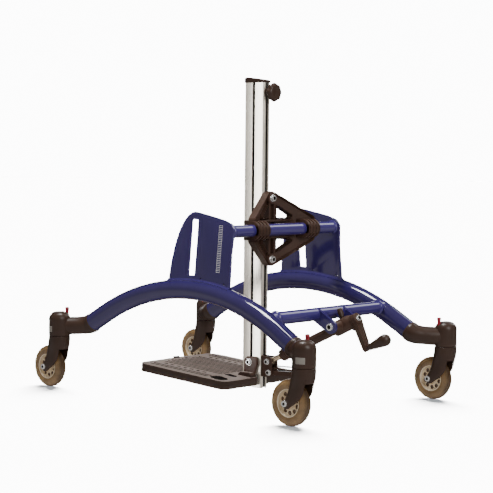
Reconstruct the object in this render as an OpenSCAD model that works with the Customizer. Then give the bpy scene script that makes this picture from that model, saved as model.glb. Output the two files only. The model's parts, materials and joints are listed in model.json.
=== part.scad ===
// Standing frame base: two leaning blue arches on four swivel casters carry a slotted column
// that tilts about an upper crossbar and is set by a hand crank spindle.
// Millimetres, +Z up, footplate side towards -Y, crank side towards +Y.

/* [Wheels] */
// Tread diameter of each wheel
wheel_d = 100; // [90:1:110]
// Width of the round tyre
tyre_w = 26; // [22:1:30]
// Distance between the left and right swivel axes
track = 510; // [490:5:560]
// Distance between the front and rear swivel axes
wheelbase = 770; // [740:5:800]
// How far each axle trails its swivel axis
trail = 34; // [28:1:38]
// Diameter of the caster housing
housing_d = 51; // [48:1:56]
// Gap between the swivelling fork and its housing
swivel_gap = 0.6; // [0.4:0.1:1.5]

/* [Arches] */
// Outside diameter of the arch tube
arch_d = 44; // [38:1:48]
// Wall of the arch tube
arch_wall = 2; // [1.5:0.5:4]
// How far the arch ends lie below its top, along the lean
arch_drop = 102.5; // [97:0.5:108]
// Height of the arch centre line at its top
arch_top = 260; // [250:1:275]
// Half distance between the arch tops
arch_x = 199; // [190:1:210]
// Inward lean of each side
lean = 5.5; // [4:0.5:7]

/* [Side plates] */
// Thickness of the side plates
plate_t = 6; // [5:1:10]
// Height of the plate above the arch centre line
plate_h = 177; // [160:1:190]
// Width of the long slot
slot_w = 22; // [16:1:28]

/* [Cross members] */
// Diameter of the crossbar that the column tilts on
bar_d = 28; // [24:1:30]
// Height of the crossbar
bar_z = 395; // [385:1:400]
// Crossbar distance behind the wheel centre line
bar_y = 104; // [100:1:106]
// Diameter of the lower cross tube
tube_d = 29; // [22:1:32]

/* [Column] */
// Column width across the frame
col_w = 25; // [24:1:28]
// Column depth along the frame
col_d = 60; // [56:1:64]
// Corner radius of the column
col_r = 8; // [5:0.5:9]
// Height of the column top
col_top = 734; // [650:2:760]
// Height of the column foot
col_foot = 20; // [16:1:26]
// Column centre behind the wheel centre line
col_y = 19.5; // [17:0.5:21]
// Mouth width of the slots
slot_mouth = 8; // [7:0.5:9]

/* [Tilt bracket] */
// Distance from the column centre to the middle of each clamp
clamp_x = 88; // [80:1:100]
// Length of each clamp along the crossbar
clamp_w = 40; // [34:1:46]
// Wall of each clamp round the crossbar
clamp_wall = 8; // [6:0.5:10]
// Bolt distance above and below the crossbar
bolt_rise = 71; // [66:1:76]

/* [Crank spindle] */
// Spindle pivot ahead of the rear swivel axes
pivot_in = 100; // [95:1:105]
// How far the spindle pivot hangs below the cross tube
lug_drop = 25; // [20:1:30]
// Height of the rod end bolt
rod_z = 85; // [80:1:90]
// Rod end bolt behind the wheel centre line
rod_y = 69; // [68:0.5:71]
// Diameter of the sliding rod
rod_d = 13; // [11:0.5:15]
// Length of the crank arm
arm_len = 70; // [60:1:75]
// Length of the crank grip
grip_len = 62; // [54:1:70]

/* [Footplate] */
// Footplate width
foot_w = 260; // [230:2:280]
// Footplate length
foot_l = 288; // [270:2:310]
// Footplate thickness
foot_t = 19; // [16:1:22]
// Toe-up angle of the footplate
foot_tilt = 3.5; // [0:0.5:4]
// Height of the footplate top at its rear edge
foot_z = 46; // [44:1:56]

/* [Fits] */
// Radial clearance of turning and sliding round fits
run = 0.05; // [0.02:0.01:0.09]
// Side clearance between sliding flat faces
side_gap = 0.4; // [0.3:0.1:0.8]

/* [Hidden] */
$fn = 64;
blue = [0.10, 0.12, 0.38];
black = [0.13, 0.10, 0.09];
silver = [0.76, 0.74, 0.70];
steel = [0.72, 0.72, 0.74];
amber = [0.62, 0.42, 0.18];
ivory = [0.85, 0.78, 0.62];
red = [0.75, 0.05, 0.10];
wheel_r = wheel_d / 2;
housing_r = housing_d / 2;
arch_rad = arch_d / 2;
bar_r = bar_d / 2;
tube_r = tube_d / 2;
split_z = wheel_d + 27;
dome_z = split_z + 58;
// Arch end: the bend ends in straight legs that reach into the caster elbows
elbow_dy = 64;
leg = 57;
end_y = wheelbase / 2 - elbow_dy;
half_bend = 2 * atan(arch_drop / (end_y + leg));
arch_r = (arch_drop - leg * sin(half_bend)) / (1 - cos(half_bend));
end_x = arch_x + arch_drop * sin(lean);
end_z = arch_top - arch_drop * cos(lean);
elbow_z = split_z + 24;
// Column and bracket
col_back = col_y + col_d / 2;
col_x = col_w / 2;
clamp_r = bar_r + clamp_wall;
boss_y = col_back + 21;
wing_turn = atan2(bar_y - col_back - 22, clamp_x - 11);
// Spindle
// The cross tube lies on the arches a little above their centre line
pivot_y = wheelbase / 2 - pivot_in;
cross_y = pivot_y - 44;
cross_z = arch_top - (arch_r - sqrt(arch_r * arch_r - cross_y * cross_y)) * cos(lean) + 8.74;
pivot_z = cross_z - lug_drop;
spin = atan2(pivot_z - rod_z, pivot_y - rod_y);
rod_run = sqrt(pow(pivot_z - rod_z, 2) + pow(pivot_y - rod_y, 2));
rod_r = rod_d / 2;
lug_in = 41;
lug_t = 6;
grip_at = 47;
grip_r = 13.5;
tip_y = pivot_y + (grip_at + grip_len - grip_r) * cos(spin) + arm_len * sin(spin) + grip_r;
// Places the middle of the whole outline on the vertical axis
reach_back = max(wheelbase / 2 + housing_r, tip_y);
reach_front = wheelbase / 2 + trail + wheel_r;
mid_y = (reach_front - reach_back) / 2;

module along(p, q, r1, r2) {
    v = q - p;
    translate(p)
        rotate([0, acos(v[2] / norm(v)), atan2(v[1], v[0])])
            cylinder(h = norm(v), r1 = r1, r2 = r2);
}

module across(r, w) {
    rotate([0, 90, 0]) cylinder(h = w, r = r, center = true);
}

module side(sx) {
    mirror([sx < 0 ? 1 : 0, 0, 0])
        translate([arch_x, 0, arch_top])
            rotate([0, -lean, 0])
                children();
}

module arch_run(r, extra) {
    translate([0, 0, -arch_r])
        rotate([0, -90, 0])
            rotate([0, 0, -half_bend])
                rotate_extrude(angle = 2 * half_bend) translate([arch_r, 0]) circle(r);
    for (sy = [-1, 1])
        translate([0, sy * arch_r * sin(half_bend), arch_r * (cos(half_bend) - 1)])
            rotate([-sy * (90 + half_bend), 0, 0])
                translate([0, 0, -5]) cylinder(h = leg + extra + 5, r = r - 0.3);
}

module arch(sx) {
    color(blue) translate([0, mid_y, 0]) side(sx) difference() {
        arch_run(arch_rad, 0);
        arch_run(arch_rad - arch_wall, 1);
    }
}

module plate_outline() {
    h = plate_h;
    v = (bar_z - arch_top) / cos(lean);
    difference() {
        polygon([[-71, -8], [-67, 45], [-57, h - 77], [-48, h - 48], [-36, h - 26], [-20, h - 8],
            [-12, h - 2], [-3, h], [8, h - 1], [36, h - 6], [86, h - 15], [100, h - 20], [110, h - 25],
            [bar_y + 13, v + 12], [bar_y + 17, v + 5], [bar_y + 18, v - 1], [bar_y + 17, v - 9],
            [bar_y + 15, v - 20], [118, 79], [120, -8]]);
        translate([1, 33]) slot_shape(slot_w, h - 50, 3);
        translate([32, 26]) circle(2.6);
        translate([104, 18]) circle(2.6);
    }
}

// Upright slot with rounded corners, standing on the middle of its lower end
module slot_shape(w, h, r) {
    translate([-w / 2 + r, 0]) square([w - 2 * r, h]);
    translate([-w / 2, r]) square([w, h - 2 * r]);
    for (x = [r - w / 2, w / 2 - r], y = [r, h - r]) translate([x, y]) circle(r);
}

module plate(sx) {
    color(blue) translate([0, mid_y, 0]) difference() {
        side(sx) rotate([90, 0, 90])
            translate([0, 0, -plate_t / 2]) linear_extrude(plate_t) plate_outline();
        side(sx) arch_run(arch_rad, 0);
        bar_solid();
    }
}

// Half length of the crossbar, ending inside the plate thickness
bar_half = arch_x - (bar_z - arch_top) * tan(lean) + plate_t / 2 - 3;

module bar_solid() {
    translate([0, bar_y, bar_z]) across(bar_r, 2 * bar_half);
}

module crossbar() {
    color(blue) translate([0, mid_y, 0]) {
        difference() {
            bar_solid();
            translate([0, bar_y, bar_z]) across(bar_r - 3, 2 * bar_half - 16);
        }
    }
}

module cross_tube() {
    color(blue) translate([0, mid_y, 0]) difference() {
        translate([0, cross_y, cross_z]) across(tube_r, 2 * arch_x);
        translate([0, cross_y, cross_z]) across(tube_r - 2, 2 * arch_x - 90);
        for (sx = [-1, 1]) side(sx) arch_run(arch_rad, 0);
    }
}

module lug(sx) {
    lug_a = atan2(pivot_z - cross_z, pivot_y - cross_y);
    lug_l = norm([pivot_z - cross_z, pivot_y - cross_y]);
    color(blue) translate([sx * (lug_in + lug_t / 2) - lug_t / 2, mid_y + cross_y, cross_z])
        rotate([90, 0, 90]) rotate([0, 0, lug_a]) linear_extrude(lug_t) difference() {
            union() {
                circle(tube_r + 4);
                translate([lug_l, 0]) circle(15.5);
                translate([0, -15.5]) square([lug_l, 31]);
            }
            circle(tube_r);
            translate([lug_l, 0]) circle(6);
        }
}

module lug_bolts() {
    color(steel) for (sx = [-1, 1]) translate([0, mid_y + pivot_y, pivot_z]) {
        translate([sx * 37, 0, 0]) across(6, 22);
        translate([sx * (lug_in + lug_t + 2.5), 0, 0]) across(8, 5);
    }
}

module housing(sx, sy) {
    c = [sx * track / 2, sy * wheelbase / 2, 0];
    e = [sx * end_x, sy * end_y, end_z];
    color(black) translate([0, mid_y, 0]) difference() {
        union() {
            translate(c) rotate_extrude() union() {
                translate([0, split_z]) square([housing_r, dome_z - split_z - 18]);
                translate([0, split_z]) square([housing_r - 18, dome_z - split_z]);
                intersection() {
                    translate([housing_r - 18, dome_z - 18]) circle(18);
                    translate([0, split_z]) square([housing_r, 100]);
                }
            }
            along(e, c + [0, 0, elbow_z], arch_rad + 0.8, arch_rad - 1);
            translate(e) sphere(arch_rad + 2.4);
        }
        side(sx) arch_run(arch_rad, 0);
        translate(c + [0, 0, split_z - 1]) cylinder(h = 43, r = 8 + run);
        translate(c + pin_at(sx, sy) + [0, 0, dome_z - 36]) cylinder(h = 60, r = 3.5 + run);
    }
}

function pin_at(sx, sy) = [-sx * 18, -sy * 7, 0];

module fork_side() {
    union() {
        polygon([[-housing_r + 2, split_z - 14], [-housing_r + 0.5, split_z - 36],
            [-trail + 2, wheel_r + 18], [-trail - 9.5, wheel_r + 5], [-trail + 7, wheel_r - 11],
            [-11.5, wheel_r], [0.5, wheel_r + 10], [11, wheel_r + 20], [16, wheel_r + 30],
            [housing_r - 6.5, split_z - 36], [housing_r - 3, split_z - 27],
            [housing_r - 0.5, split_z - 14]]);
        translate([-trail + 1, wheel_r]) circle(11.5);
    }
}

// Plan of the fork hood: rounded behind, straight towards the axle
module fork_plan(w) {
    r = 18;
    linear_extrude(split_z) union() {
        translate([-w, -trail - 40]) square([2 * w, trail + 40 + housing_r - r]);
        translate([-w + r, 0]) square([2 * (w - r), housing_r]);
        for (k = [-1, 1]) translate([k * (w - r), housing_r - r]) circle(r);
    }
}

module fork(sx, sy) {
    arm_in = tyre_w / 2 + 2.2;
    color(black) translate([sx * track / 2, mid_y + sy * wheelbase / 2, 0]) difference() {
        union() {
            translate([0, 0, wheel_d + 3.5])
                cylinder(h = split_z - wheel_d - 3.5 - swivel_gap, r = housing_r);
            translate([0, 0, split_z - 2]) cylinder(h = 40, r = 8);
            intersection() {
                for (k = [-1, 1]) translate([k * (arm_in + 3.2) - 3.2, 0, 0])
                    rotate([90, 0, 90]) linear_extrude(6.4) fork_side();
                fork_plan(arm_in + 6.4);
            }
            intersection() {
                translate([-arm_in - 1, 12, wheel_r + 45]) cube([2 * arm_in + 2, 20, wheel_r - 41]);
                translate([-arm_in - 6.4, 0, 0]) rotate([90, 0, 90])
                    linear_extrude(2 * arm_in + 12.8) fork_side();
                fork_plan(arm_in + 6.4);
            }
        }
        translate([0, -trail, wheel_r]) across(4, 80);
    }
}

module axle(sx, sy) {
    out = tyre_w / 2 + 2.2 + 6.4;
    color(steel) translate([sx * track / 2, mid_y + sy * wheelbase / 2 - trail, wheel_r]) {
        across(4, 2 * out + 2);
        for (k = [-1, 1]) translate([k * (out + 1.6), 0, 0]) across(6.5, 3.2);
    }
}

module tyre(sx, sy) {
    half = tyre_w / 2;
    color(amber) translate([sx * track / 2, mid_y + sy * wheelbase / 2 - trail, wheel_r])
        rotate([0, 90, 0]) rotate_extrude() difference() {
            translate([wheel_r - half, 0]) circle(half);
            translate([0, -tyre_w]) square([wheel_r - 15, 2 * tyre_w]);
        }
}

module hub(sx, sy) {
    rim = wheel_r - 15;
    color(ivory) translate([sx * track / 2, mid_y + sy * wheelbase / 2 - trail, wheel_r])
        rotate([0, 90, 0]) difference() {
            union() {
                difference() {
                    cylinder(h = tyre_w - 4, r = rim, center = true);
                    cylinder(h = tyre_w, r = rim - 4.5, center = true);
                }
                cylinder(h = 9, r = rim - 2, center = true);
                cylinder(h = tyre_w, r = 11, center = true);
            }
            for (k = [0 : 9], s = [-1, 1]) rotate([0, 0, 36 * k]) translate([(rim + 6.5) / 2, 0, s * 6.5])
                cylinder(h = 10, r = 4.6, center = true);
            cylinder(h = 60, r = 4 + run, center = true);
        }
}

module pin(sx, sy) {
    color(red) translate([sx * track / 2, mid_y + sy * wheelbase / 2, dome_z] + pin_at(sx, sy)) {
        translate([0, 0, -26]) cylinder(h = 31, r = 3.5);
        translate([0, 0, 4.4]) cylinder(h = 4.6, r = 4.5);
    }
}

module slot_cut() {
    translate([-slot_mouth / 2, -3]) square([slot_mouth, 4]);
    translate([-slot_mouth / 2 - 3, -8]) square([slot_mouth + 6, 5.5]);
}

module column_plan() {
    square([col_w, col_d - 2 * col_r], center = true);
    square([col_w - 2 * col_r, col_d], center = true);
    for (x = [-1, 1], y = [-1, 1])
        translate([x * (col_w / 2 - col_r), y * (col_d / 2 - col_r)]) circle(col_r);
}

module column() {
    color(silver) translate([0, mid_y + col_y, col_foot]) linear_extrude(col_top - col_foot) difference() {
        column_plan();
        for (a = [0, 180]) rotate(a) translate([0, col_d / 2]) slot_cut();
        for (a = [90, 270]) rotate(a) translate([0, col_w / 2]) slot_cut();
        for (y = [-1, 1]) translate([0, y * (col_d / 4 - 0.5)]) square([col_w - 7, 8], center = true);
    }
}

module end_cap() {
    color(black) translate([0, mid_y + col_y, col_top]) intersection() {
        translate([-col_x, 0, 0]) rotate([90, 0, 90]) linear_extrude(col_w)
            polygon([[-col_d / 2, 0], [col_d / 2, 0], [col_d / 2, 3], [col_d / 2 - 5, 5],
                [-col_d / 2 + 6, 10.5], [-col_d / 2, 8]]);
        translate([0, 0, -1]) linear_extrude(20) column_plan();
    }
}

// Ribbed diamond casting: a flat spine bolted to the column, two swept wings with windows and finned clamps
module wing_line() {
    apex = bolt_rise + 15;
    polygon([[0, apex], [12, apex - 3], [clamp_x + 12, 31], [clamp_x + 18, 24], [clamp_x + 18, -24],
        [clamp_x + 12, -31], [12, 3 - apex], [0, -apex]]);
}

module wing_window(sz) {
    polygon([[13.5, sz * 25], [52, sz * 25], [52, sz * 31], [13.5, sz * 57]]);
}

// Sunk panel between the outer rib of a wing and its window
module wing_panel(sz) {
    polygon([[16, sz * 60.5], [16, sz * 75], [clamp_x - 6, sz * 36], [clamp_x - 6, sz * 29],
        [56, sz * 29], [56, sz * 34]]);
}

module wing() {
    difference() {
        translate([0, 20, 0]) rotate([90, 0, 0]) linear_extrude(20) difference() {
            wing_line();
            for (sz = [-1, 1]) wing_window(sz);
        }
        translate([0, 26, 0]) rotate([90, 0, 0]) linear_extrude(11.5)
            for (sz = [-1, 1]) wing_panel(sz);
        translate([-40, -10, -120]) cube([51, 50, 240]);
    }
}

module tilt_bracket() {
    apex = bolt_rise + 15;
    color(black) translate([0, mid_y, bar_z]) difference() {
        union() {
            for (m = [0, 1]) mirror([m, 0, 0])
                translate([11, col_back, 0]) rotate([0, 0, wing_turn]) translate([-11, 0, 0]) wing();
            translate([-13, col_back, -apex]) cube([26, 14, 2 * apex]);
            for (k = [-1, 1]) translate([k * 9 - 2.5, col_back, -apex + 2]) cube([5, 20, 2 * apex - 4]);
            for (sz = [-1, 1]) {
                translate([0, col_back, sz * bolt_rise]) rotate([-90, 0, 0])
                    cylinder(h = boss_y - col_back, r = 13);
                translate([-clamp_x, col_back + 8, sz * (bar_r + 5) - 2.5]) cube([2 * clamp_x, 26, 5]);
            }
            for (sx = [-1, 1]) translate([sx * clamp_x, bar_y, 0]) {
                across(clamp_r, clamp_w);
                translate([-clamp_w / 2, -26, -clamp_r]) cube([clamp_w, 26, 2 * clamp_r]);
            }
        }
        translate([0, bar_y, 0]) across(bar_r + run, 400);
        for (sx = [-1, 1], k = [-1, 0, 1], sz = [-1, 1])
            translate([sx * clamp_x + k * 11 - 2.5, bar_y + 4, sz * (clamp_r - 2) - 6]) cube([5, 30, 12]);
        for (sz = [-1, 1]) translate([0, col_back - 1, sz * bolt_rise]) rotate([-90, 0, 0]) {
            cylinder(h = 40, r = 4);
            translate([0, 0, boss_y - col_back + 1]) cylinder(h = 40, r = 9);
        }
    }
}

module bracket_bolts() {
    color(steel) for (sz = [-1, 1]) translate([0, mid_y, bar_z + sz * bolt_rise]) rotate([-90, 0, 0]) {
        translate([0, 0, col_back - 5]) cylinder(h = boss_y - col_back + 5, r = 3.5);
        translate([0, 0, boss_y]) difference() {
            cylinder(h = 6, r = 7);
            translate([0, 0, 2]) cylinder(h = 10, r = 3.4, $fn = 6);
        }
    }
}

lever_y = rod_y + 5;
lever_z = rod_z - 25;

module rod_bracket() {
    color(black) translate([0, mid_y, 0]) difference() {
        union() {
            translate([-12.5, col_back, rod_z - 36]) cube([25, 4, 49]);
            for (k = [-1, 1]) translate([k * 10 - 2.5, 0, 0])
                rotate([90, 0, 90]) linear_extrude(5) union() {
                translate([col_back, rod_z - 36]) square([lever_y - col_back, 49]);
                translate([lever_y - 2, rod_z - 26]) square([11, 31]);
                translate([lever_y + 1, rod_z + 5]) circle(8);
                translate([lever_y, lever_z]) circle(10);
            }
        }
        translate([0, rod_y, rod_z]) across(4, 60);
        translate([0, lever_y, lever_z]) across(4, 60);
    }
}

module rod_bolts() {
    color(steel) for (p = [[rod_y, rod_z], [lever_y, lever_z]]) translate([0, mid_y + p[0], p[1]]) {
        across(4, 27);
        for (k = [-1, 1]) translate([k * 15, 0, 0]) across(7, 5);
    }
}

module foot_lever() {
    color(black) translate([0, mid_y + lever_y, lever_z]) rotate([3, 0, 0]) difference() {
        union() {
            across(7, 13);
            translate([-6.5, 0, -7]) cube([13, 92, 13]);
            translate([-5, 9, 3]) rotate([6, 0, 0]) cube([3, 82, 4]);
            translate([2, 9, 4]) rotate([3, 0, 0]) cube([3, 82, 4]);
        }
        across(4 + run, 40);
    }
}

knob_z = col_top - 23;

module knob_washer() {
    color(black) translate([0, mid_y + col_back, knob_z]) rotate([-90, 0, 0]) difference() {
        cylinder(h = 5, r = 11);
        translate([0, 0, -1]) cylinder(h = 10, r = 3.5 + run);
    }
}

module knob() {
    color(black) translate([0, mid_y + col_back, knob_z]) rotate([-90, 0, 0]) {
        translate([0, 0, -5]) cylinder(h = 12, r = 3.5);
        translate([0, 0, 5.5]) rotate_extrude() union() {
            square([10, 8]);
            translate([0, 8]) square([14, 16]);
            translate([14, 16]) circle(8);
        }
    }
}

module slanted_hole(w, straight) {
    for (d = [-1, 1]) translate([0, d * straight / 2]) circle(w / 2);
    square([w, straight], center = true);
}

module foot_outline() {
    r = 22;
    w = foot_w / 2;
    difference() {
        union() {
            translate([-w, -foot_l + r]) square([foot_w, foot_l - 2 * r]);
            translate([-w + r, -foot_l]) square([foot_w - 2 * r, foot_l]);
            for (k = [-1, 1]) {
                translate([k * (w - r), -r]) circle(r);
                translate([k * (w - r), -foot_l + r]) circle(r);
            }
        }
        for (k = [-1, 1]) {
            translate([k * 101, -43]) rotate(-k * 16) slanted_hole(30, 22);
            translate([k * 53, -50]) rotate(-k * 12) slanted_hole(16, 22);
            for (j = [0 : 6])
                translate([k * 78 - 3, -foot_l + 42 + j * (foot_l - 160) / 6]) square([6, 12]);
            translate([k * 24, -foot_l + 16]) circle(4);
        }
    }
}

// Rear edge line of the footplate and outer face of its cheeks
foot_y = col_y + 22.5;
cheek_out = col_x + side_gap + 7;

module footplate() {
    color(black) translate([0, mid_y + foot_y, foot_z]) difference() {
        union() {
            rotate([-foot_tilt, 0, 0]) {
                translate([0, 0, -foot_t]) linear_extrude(foot_t) foot_outline();
                for (x = [0 : 12 : foot_w / 2 - 16], k = [-1, 1])
                    if (abs(x - 78) > 7)
                        translate([k * x - 1.6, 24 - foot_l, -2]) cube([3.2, foot_l - 96, 3.4]);
                translate([-9, 1 - foot_l, -2]) cube([18, 7, 6]);
            }
            for (k = [-1, 1]) translate([k * (cheek_out + 5) - 7, 0, 0])
                rotate([90, 0, 90]) linear_extrude(14)
                    polygon([[-54, -6], [-4, -6], [-4, 6], [-9, 11], [-42, 11]]);
        }
        translate([-col_x - 2, -54, -40]) cube([col_w + 4, 120, 120]);
        translate([-cheek_out, -39.5, -5]) cube([2 * cheek_out, 34, 120]);
    }
}

module foot_cheeks() {
    color(black) for (k = [-1, 1]) translate([k * (cheek_out - 3.5) - 3.5, mid_y + foot_y, foot_z])
        difference() {
            rotate([90, 0, 90]) linear_extrude(7) polygon([[-39.5, -5], [-10, -5], [-10, 0], [1, 30],
                [1, 40], [-4, 47], [-31, 47], [-39.5, 39]]);
            translate([3, -22.5, 34]) across(3.5, 40);
        }
}

module foot_bolts() {
    color(steel) for (k = [-1, 1]) translate([0, mid_y + col_y, foot_z + 34]) {
        translate([k * (col_x + 2.5), 0, 0]) across(3.5, 12);
        translate([k * (cheek_out + 3), 0, 0]) across(6.5, 6);
    }
}

module at_spindle() {
    translate([0, mid_y + pivot_y, pivot_z]) rotate([spin, 0, 0]) children();
}

module lengthwise(a, b, r1, r2) {
    translate([0, a, 0]) rotate([-90, 0, 0]) cylinder(h = b - a, r1 = r1, r2 = r2);
}

module spindle_tube() {
    color(black) at_spindle() difference() {
        union() {
            lengthwise(44 - rod_run, 0, 11.5, 11.5);
            lengthwise(42 - rod_run, 62 - rod_run, 14.5, 14.5);
            lengthwise(-24, 20, 17, 17);
            lengthwise(20, 31, 17, 13);
            across(12, 2 * lug_in - 2);
        }
        lengthwise(20 - rod_run, -26, rod_r + run, rod_r + run);
        lengthwise(12, 60, 6 + run, 6 + run);
        rotate([-spin, 0, 0]) across(6 + run, 200);
        translate([0, 4, 10]) cylinder(h = 30, r = 3 + run);
    }
}

module stop_knob() {
    color(black) at_spindle() translate([0, 4, 0]) {
        translate([0, 0, 11]) cylinder(h = 12, r = 3);
        translate([0, 0, 18]) cylinder(h = 8, r1 = 4.5, r2 = 6.5);
        translate([0, 0, 26]) cylinder(h = 13, r = 6.5);
    }
}

module rod() {
    color(steel) at_spindle() difference() {
        union() {
            lengthwise(-rod_run + 4, -58, rod_r, rod_r);
            translate([0, -rod_run, 0]) across(9, 14);
        }
        translate([0, -rod_run, 0]) across(5, 40);
    }
}

module crank_arm() {
    color(black) at_spindle() difference() {
        union() {
            lengthwise(14, 34, 6, 6);
            lengthwise(32, 46, 14, 13);
            translate([0, 46, 0]) rotate([90, 0, 0]) linear_extrude(12) union() {
                polygon([[-13, 2], [13, 2], [7, -arm_len], [-7, -arm_len]]);
                translate([0, -arm_len]) circle(7.5);
            }
            translate([0, 0, -arm_len]) lengthwise(40, grip_at + 44, 4, 4);
        }
        lengthwise(26, 60, 3, 3);
    }
}

module crank_bolt() {
    color(steel) at_spindle() {
        lengthwise(28, 46, 3, 3);
        lengthwise(46, 50, 6.5, 6.5);
    }
}

module grip() {
    color(black) at_spindle() translate([0, 0, -arm_len]) difference() {
        union() {
            lengthwise(grip_at, grip_at + grip_len - grip_r, 6.5, grip_r);
            translate([0, grip_at + grip_len - grip_r, 0]) sphere(grip_r);
        }
        lengthwise(grip_at - 1, grip_at + 46, 4 + run, 4 + run);
    }
}

arch(1);  // arch_right
arch(-1);  // arch_left
plate(1);  // plate_right
plate(-1);  // plate_left
crossbar();
cross_tube();
lug(1);  // lug_right
lug(-1);  // lug_left
lug_bolts();
housing(1, 1);  // housing_rr
housing(-1, 1);  // housing_rl
housing(1, -1);  // housing_fr
housing(-1, -1);  // housing_fl
fork(1, 1);  // fork_rr
fork(-1, 1);  // fork_rl
fork(1, -1);  // fork_fr
fork(-1, -1);  // fork_fl
axle(1, 1);  // axle_rr
axle(-1, 1);  // axle_rl
axle(1, -1);  // axle_fr
axle(-1, -1);  // axle_fl
tyre(1, 1);  // tyre_rr
tyre(-1, 1);  // tyre_rl
tyre(1, -1);  // tyre_fr
tyre(-1, -1);  // tyre_fl
hub(1, 1);  // hub_rr
hub(-1, 1);  // hub_rl
hub(1, -1);  // hub_fr
hub(-1, -1);  // hub_fl
pin(1, 1);  // pin_rr
pin(-1, 1);  // pin_rl
pin(1, -1);  // pin_fr
pin(-1, -1);  // pin_fl
column();
end_cap();
tilt_bracket();
bracket_bolts();
rod_bracket();
rod_bolts();
foot_lever();
knob_washer();
knob();
footplate();
foot_cheeks();
foot_bolts();
spindle_tube();
stop_knob();
rod();
crank_arm();
crank_bolt();
grip();
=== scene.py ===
# %% [markdown]
# # Dressing a standing frame
# A standing frame is rolled to its user on four swivel casters. Two leaning blue arches carry a crossbar,
# a slotted column tilts on that bar, and a hand crank sets the tilt. The solids come from a CAD program.
# This lesson gives them the rounded edges, ribs and finishes of the real thing, piece by piece.

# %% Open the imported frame
import json
import math

import bmesh
import bpy
from mathutils import Matrix, Vector

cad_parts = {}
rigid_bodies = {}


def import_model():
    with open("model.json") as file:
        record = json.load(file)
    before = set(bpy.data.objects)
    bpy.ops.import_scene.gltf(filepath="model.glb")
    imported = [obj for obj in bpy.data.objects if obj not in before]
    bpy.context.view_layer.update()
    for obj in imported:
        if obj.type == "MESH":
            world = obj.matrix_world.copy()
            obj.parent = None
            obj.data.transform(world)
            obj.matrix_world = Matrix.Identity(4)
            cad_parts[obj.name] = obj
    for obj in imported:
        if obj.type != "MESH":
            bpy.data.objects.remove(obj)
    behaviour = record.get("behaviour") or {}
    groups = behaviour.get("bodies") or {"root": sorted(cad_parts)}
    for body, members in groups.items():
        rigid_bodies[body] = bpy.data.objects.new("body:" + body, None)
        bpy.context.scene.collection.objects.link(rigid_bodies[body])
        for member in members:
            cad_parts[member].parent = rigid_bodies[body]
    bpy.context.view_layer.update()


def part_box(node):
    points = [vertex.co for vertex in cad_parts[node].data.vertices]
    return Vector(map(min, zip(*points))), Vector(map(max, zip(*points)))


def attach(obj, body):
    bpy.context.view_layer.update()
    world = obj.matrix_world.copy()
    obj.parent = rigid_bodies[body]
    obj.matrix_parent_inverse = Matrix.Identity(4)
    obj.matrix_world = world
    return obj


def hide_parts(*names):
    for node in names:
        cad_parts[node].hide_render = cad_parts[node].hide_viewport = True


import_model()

# %% [markdown]
# ## Millimetres and one shared zero line
# The solids were drawn in millimetres about the middle of the wheels, then moved so that the outline's
# middle is on the origin. Drawing the new pieces about the same zero line keeps every number the same as
# in the drawing, so one matrix at the end scales and shifts them all. The shift is read from the column.

# %% The zero line
COLUMN_Y = 19.5
low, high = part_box("column")
BACKSET = (low.y + high.y) * 500 - COLUMN_Y  # half of the sum, from metres to millimetres
MM = 0.001
PLACE = Matrix.Scale(MM, 4) @ Matrix.Translation((0, BACKSET, 0))
UPRIGHT = Matrix(((0, 0, 1, 0), (1, 0, 0, 0), (0, 1, 0, 0), (0, 0, 0, 1)))
print("the drawing's zero line is", round(BACKSET, 3), "mm behind the origin")


def turn(axis, degrees):
    return Matrix.Rotation(math.radians(degrees), 4, axis)


def at(x, y, z):
    return Matrix.Translation((x, y, z))


def move(bm, place):
    bmesh.ops.transform(bm, matrix=place, verts=bm.verts[:])


# %% [markdown]
# ## Shader sums in plain Python
# A finish is a small node tree. Wiring each node by hand hides the idea, so one class wraps a node's
# output: sums on it add Math nodes, `axis` takes one coordinate, `remap` stretches a range, and `node`
# adds any other node, with its settings first.

# %% The wrapped socket
class Wire:
    def __init__(self, tree, out=None):
        self.tree, self.out = tree, out

    def node(self, kind, settings=None, sockets=None, give=0):
        new = self.tree.nodes.new(kind)
        for key, value in (settings or {}).items():
            if key == "stops":
                for stop, (spot, shade) in zip(new.color_ramp.elements, value):
                    stop.position, stop.color = spot, (*shade, 1)
            else:
                setattr(new, key, value)
        for key, value in (sockets or {}).items():
            if isinstance(value, Wire):
                self.tree.links.new(value.out, new.inputs[key])
            else:
                new.inputs[key].default_value = value
        return Wire(self.tree, new.outputs[give])

    def sum(self, operation, a, b):
        return self.node("ShaderNodeMath", {"operation": operation}, {0: a, 1: b})

    def axis(self, name):
        return self.node("ShaderNodeSeparateXYZ", {}, {"Vector": self}, give=name)

    def remap(self, low, high, first, last):
        return self.node("ShaderNodeMapRange", {}, {"Value": self, "From Min": low, "From Max": high,
                                                    "To Min": first, "To Max": last})

    def __add__(self, other):
        return self.sum("ADD", self, other)

    def __sub__(self, other):
        return self.sum("SUBTRACT", self, other)

    def __mul__(self, other):
        return self.sum("MULTIPLY", self, other)

    __radd__, __rmul__ = __add__, __mul__


# %% [markdown]
# ## Finishes
# Each finish starts from the same three patterns on Object coordinates: a broad cloudy one for uneven
# colour, a fine one for grain, and their bump. What differs is the colour pair, the gloss and how the
# pattern is stretched: paint has a faint orange peel, castings a sandy grain, the column long brush lines.
# A tyre is painted darker along its crown, as painted shade on its rounded tread. Each tyre's middle plane lies at
# the same distance from the frame's middle, so that distance alone tells the crown from the flanks.

# %% A finish and where it is used
TRACK = 255  # millimetres from the middle of the frame to the middle of each tyre
CROWN_HALF, FLANK_START = 0.003, 0.0115  # metres from the middle of the tyre


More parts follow.
